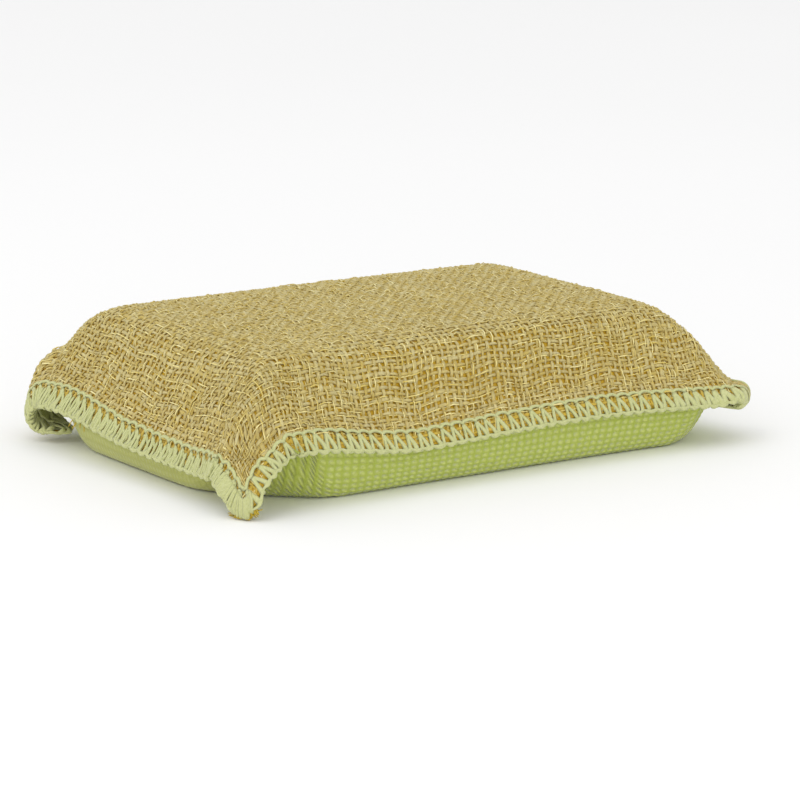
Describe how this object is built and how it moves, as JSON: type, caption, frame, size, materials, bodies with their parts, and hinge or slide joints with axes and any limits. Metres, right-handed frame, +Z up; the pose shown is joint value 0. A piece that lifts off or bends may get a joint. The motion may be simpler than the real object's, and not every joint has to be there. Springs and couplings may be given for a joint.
{
  "type": "kitchen sponge",
  "caption": "Microfibre kitchen sponge pad: coarse woven scouring cover over foam, fine knit cover below, overlock seam with four soft corner ears.",
  "frame": {"origin": "middle of the face it rests on, under the middle of the stuffed block", "axes": "+X along the length, +Y across the width, +Z up through the scouring cover"},
  "size_m": [0.1581, 0.11, 0.0328],
  "materials": {
    "scouring_weave": "coarse open weave of beige yarn and shiny gold filament",
    "knit": "lime green microfibre knit with small bumps",
    "foam": "soft open-cell foam",
    "thread": "pale yellow-green bulky thread"
  },
  "bodies": {
    "root": {"scouring_cover": "scouring_weave", "microfibre_cover": "knit", "foam_core": "foam", "overlock_seam": "thread"}
  },
  "joints": []
}
